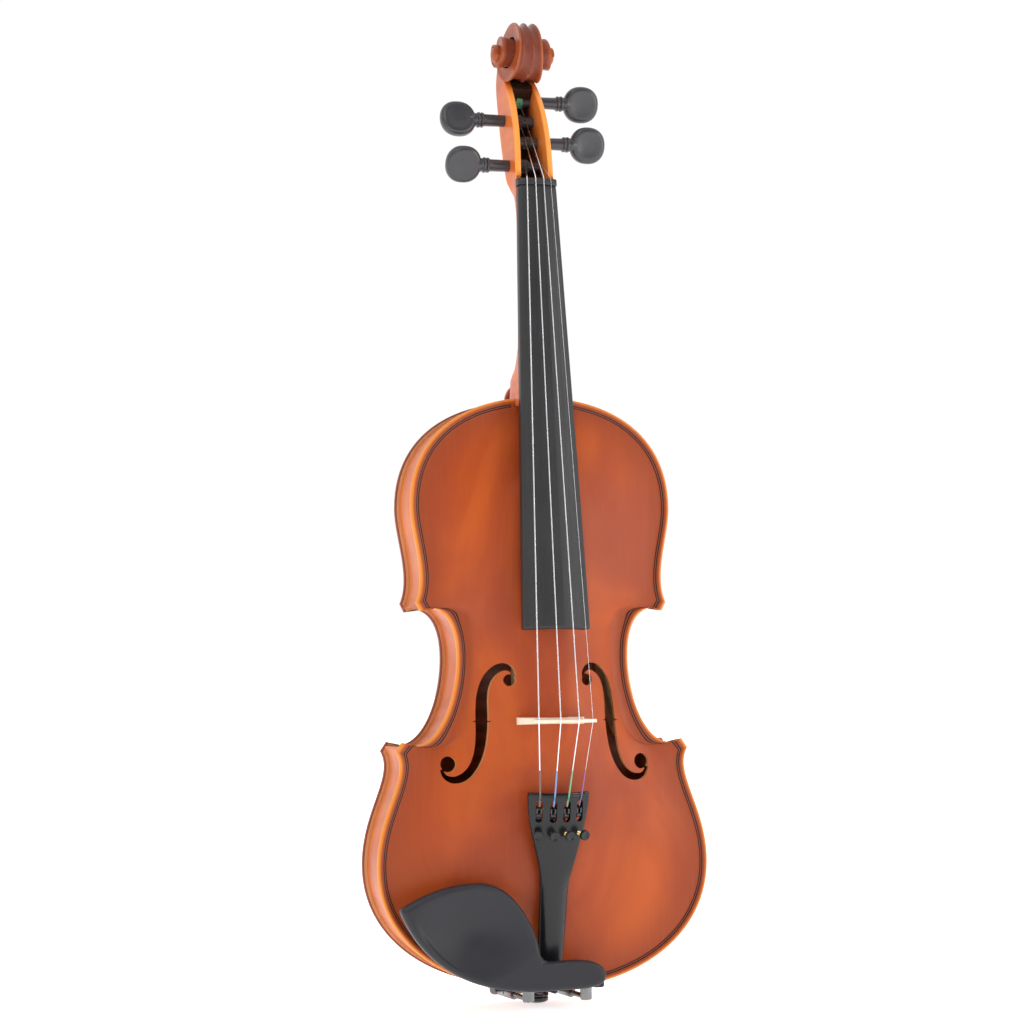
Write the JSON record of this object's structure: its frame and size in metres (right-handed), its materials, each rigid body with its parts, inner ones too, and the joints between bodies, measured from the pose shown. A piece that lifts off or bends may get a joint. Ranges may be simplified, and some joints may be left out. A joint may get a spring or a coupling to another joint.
{
  "type": "violin",
  "caption": "Full-size violin with chin rest, fine tuners, strings, bridge and tailpiece, in a satin red-brown varnish.",
  "frame": {"origin": "on the middle line just under the scroll, where a hanger fork takes hold behind the pegbox", "axes": "+Z along the instrument towards the scroll, +Y towards the back plate, +X towards the treble (E string) side"},
  "size_m": [0.208, 0.0984, 0.5999],
  "materials": {
    "front_varnish": "satin varnish",
    "back_varnish": "satin varnish",
    "rib_varnish": "satin varnish",
    "bare_spruce": "bare",
    "purfling": "satin",
    "neck_varnish": "satin varnish",
    "ebony": "satin",
    "rest_black": "satin",
    "tail_black": "polished",
    "bridge_maple": "bare",
    "string_steel": "wound",
    "gut_black": "satin",
    "lever_black": "satin",
    "screw_brass": "polished",
    "knob_black": "satin",
    "clamp_steel": "polished",
    "cork": "bare"
  },
  "bodies": {
    "root": {"top_plate": "front_varnish", "back_plate": "back_varnish", "upper_rib_bass": "rib_varnish", "upper_rib_treble": "rib_varnish", "middle_rib_bass": "rib_varnish", "middle_rib_treble": "rib_varnish", "lower_rib_bass": "rib_varnish", "lower_rib_treble": "rib_varnish", "linings_top": "bare_spruce", "linings_back": "bare_spruce", "upper_block": "bare_spruce", "lower_block": "bare_spruce", "corner_blocks": "bare_spruce", "bass_bar": "bare_spruce", "sound_post": "bare_spruce", "purfling_top": "purfling", "purfling_back": "purfling", "neck": "neck_varnish", "fingerboard": "ebony", "nut": "ebony", "saddle": "ebony", "end_button": "ebony", "string_g": "string_steel", "string_d": "string_steel", "string_a": "string_steel", "string_e": "string_steel", "bridge": "bridge_maple", "tailpiece": "tail_black", "tailpiece_fret": "tail_black", "tailgut": "gut_black", "tuner_pins": "screw_brass", "chin_rest": "rest_black", "chin_rest_cork": "cork", "clamp_bracket": "clamp_steel"},
    "peg_g": {"peg_g": "ebony", "winding_g": "string_steel"},
    "peg_d": {"peg_d": "ebony", "winding_d": "string_steel"},
    "peg_a": {"peg_a": "ebony", "winding_a": "string_steel"},
    "peg_e": {"peg_e": "ebony", "winding_e": "string_steel"},
    "screw_g": {"tuner_screw_g": "screw_brass"},
    "knob_g": {"tuner_knob_g": "knob_black"},
    "lever_g": {"tuner_lever_g": "lever_black"},
    "screw_d": {"tuner_screw_d": "screw_brass"},
    "knob_d": {"tuner_knob_d": "knob_black"},
    "lever_d": {"tuner_lever_d": "lever_black"},
    "screw_a": {"tuner_screw_a": "screw_brass"},
    "knob_a": {"tuner_knob_a": "knob_black"},
    "lever_a": {"tuner_lever_a": "lever_black"},
    "screw_e": {"tuner_screw_e": "screw_brass"},
    "knob_e": {"tuner_knob_e": "knob_black"},
    "lever_e": {"tuner_lever_e": "lever_black"},
    "clamp_barrel_bass": {"clamp_barrel_bass": "clamp_steel"},
    "clamp_barrel_treble": {"clamp_barrel_treble": "clamp_steel"},
    "clamp_foot": {"clamp_foot": "clamp_steel", "clamp_foot_cork": "cork"}
  },
  "joints": [
    {"name": "turn_peg_g", "type": "hinge", "parent": "root", "child": "peg_g", "pos_m": [0, -0.0062, -0.0571], "axis": [1, 0, 0], "continuous": true},
    {"name": "turn_peg_d", "type": "hinge", "parent": "root", "child": "peg_d", "pos_m": [0, 0.0045, -0.0273], "axis": [1, 0, 0], "continuous": true},
    {"name": "turn_peg_a", "type": "hinge", "parent": "root", "child": "peg_a", "pos_m": [0, 0.01, -0.0138], "axis": [1, 0, 0], "continuous": true},
    {"name": "turn_peg_e", "type": "hinge", "parent": "root", "child": "peg_e", "pos_m": [0, -0.0015, -0.0414], "axis": [1, 0, 0], "continuous": true},
    {"name": "advance_screw_g", "type": "slide", "parent": "root", "child": "screw_g", "axis": [0.2807, 0.9405, 0.1914], "range_m": [-0.001, 0.001]},
    {"name": "turn_knob_g", "type": "hinge", "parent": "screw_g", "child": "knob_g", "pos_m": [-0.01263, -0.0524, -0.46235], "axis": [0.2807, 0.9405, 0.1914], "range_deg": [-600, 600]},
    {"name": "swing_lever_g", "type": "hinge", "parent": "root", "child": "lever_g", "pos_m": [-0.01095, -0.04949, -0.44778], "axis": [0.9598, -0.275, -0.056], "range_deg": [-4.2, 4.2]},
    {"name": "advance_screw_d", "type": "slide", "parent": "root", "child": "screw_d", "axis": [0.0941, 0.9756, 0.1985], "range_m": [-0.001, 0.001]},
    {"name": "turn_knob_d", "type": "hinge", "parent": "screw_d", "child": "knob_d", "pos_m": [-0.00424, -0.05398, -0.46267], "axis": [0.0941, 0.9756, 0.1985], "range_deg": [-600, 600]},
    {"name": "swing_lever_d", "type": "hinge", "parent": "root", "child": "lever_d", "pos_m": [-0.00367, -0.05086, -0.44806], "axis": [0.9956, -0.0922, -0.0188], "range_deg": [-4.2, 4.2]},
    {"name": "advance_screw_a", "type": "slide", "parent": "root", "child": "screw_a", "axis": [-0.0941, 0.9756, 0.1985], "range_m": [-0.001, 0.001]},
    {"name": "turn_knob_a", "type": "hinge", "parent": "screw_a", "child": "knob_a", "pos_m": [0.00424, -0.05398, -0.46267], "axis": [-0.0941, 0.9756, 0.1985], "range_deg": [-600, 600]},
    {"name": "swing_lever_a", "type": "hinge", "parent": "root", "child": "lever_a", "pos_m": [0.00367, -0.05086, -0.44806], "axis": [0.9956, 0.0922, 0.0188], "range_deg": [-4.2, 4.2]},
    {"name": "advance_screw_e", "type": "slide", "parent": "root", "child": "screw_e", "axis": [-0.2807, 0.9405, 0.1914], "range_m": [-0.001, 0.001]},
    {"name": "turn_knob_e", "type": "hinge", "parent": "screw_e", "child": "knob_e", "pos_m": [0.01263, -0.0524, -0.46235], "axis": [-0.2807, 0.9405, 0.1914], "range_deg": [-600, 600]},
    {"name": "swing_lever_e", "type": "hinge", "parent": "root", "child": "lever_e", "pos_m": [0.01095, -0.04949, -0.44778], "axis": [0.9598, 0.275, 0.056], "range_deg": [-4.2, 4.2]},
    {"name": "turn_barrel_bass", "type": "hinge", "parent": "root", "child": "clamp_barrel_bass", "pos_m": [-0.018, -0.007, -0.5596], "axis": [0, 1, 0], "range_deg": [0, 1540]},
    {"name": "turn_barrel_treble", "type": "hinge", "parent": "root", "child": "clamp_barrel_treble", "pos_m": [0.018, -0.007, -0.5596], "axis": [0, 1, 0], "range_deg": [0, 1540]},
    {"name": "slide_clamp_foot", "type": "slide", "parent": "root", "child": "clamp_foot", "axis": [0, 1, 0], "range_m": [0, 0.006]}
  ],
  "couplings": [
    {"joint": "turn_knob_g", "follows": "advance_screw_g", "rad_per_m": 10472},
    {"joint": "swing_lever_g", "follows": "advance_screw_g", "rad_per_m": 73},
    {"joint": "turn_knob_d", "follows": "advance_screw_d", "rad_per_m": 10472},
    {"joint": "swing_lever_d", "follows": "advance_screw_d", "rad_per_m": 73},
    {"joint": "turn_knob_a", "follows": "advance_screw_a", "rad_per_m": 10472},
    {"joint": "swing_lever_a", "follows": "advance_screw_a", "rad_per_m": 73},
    {"joint": "turn_knob_e", "follows": "advance_screw_e", "rad_per_m": 10472},
    {"joint": "swing_lever_e", "follows": "advance_screw_e", "rad_per_m": 73},
    {"joint": "turn_barrel_bass", "follows": "slide_clamp_foot", "rad_per_m": 4479},
    {"joint": "turn_barrel_treble", "follows": "slide_clamp_foot", "rad_per_m": 4479}
  ]
}
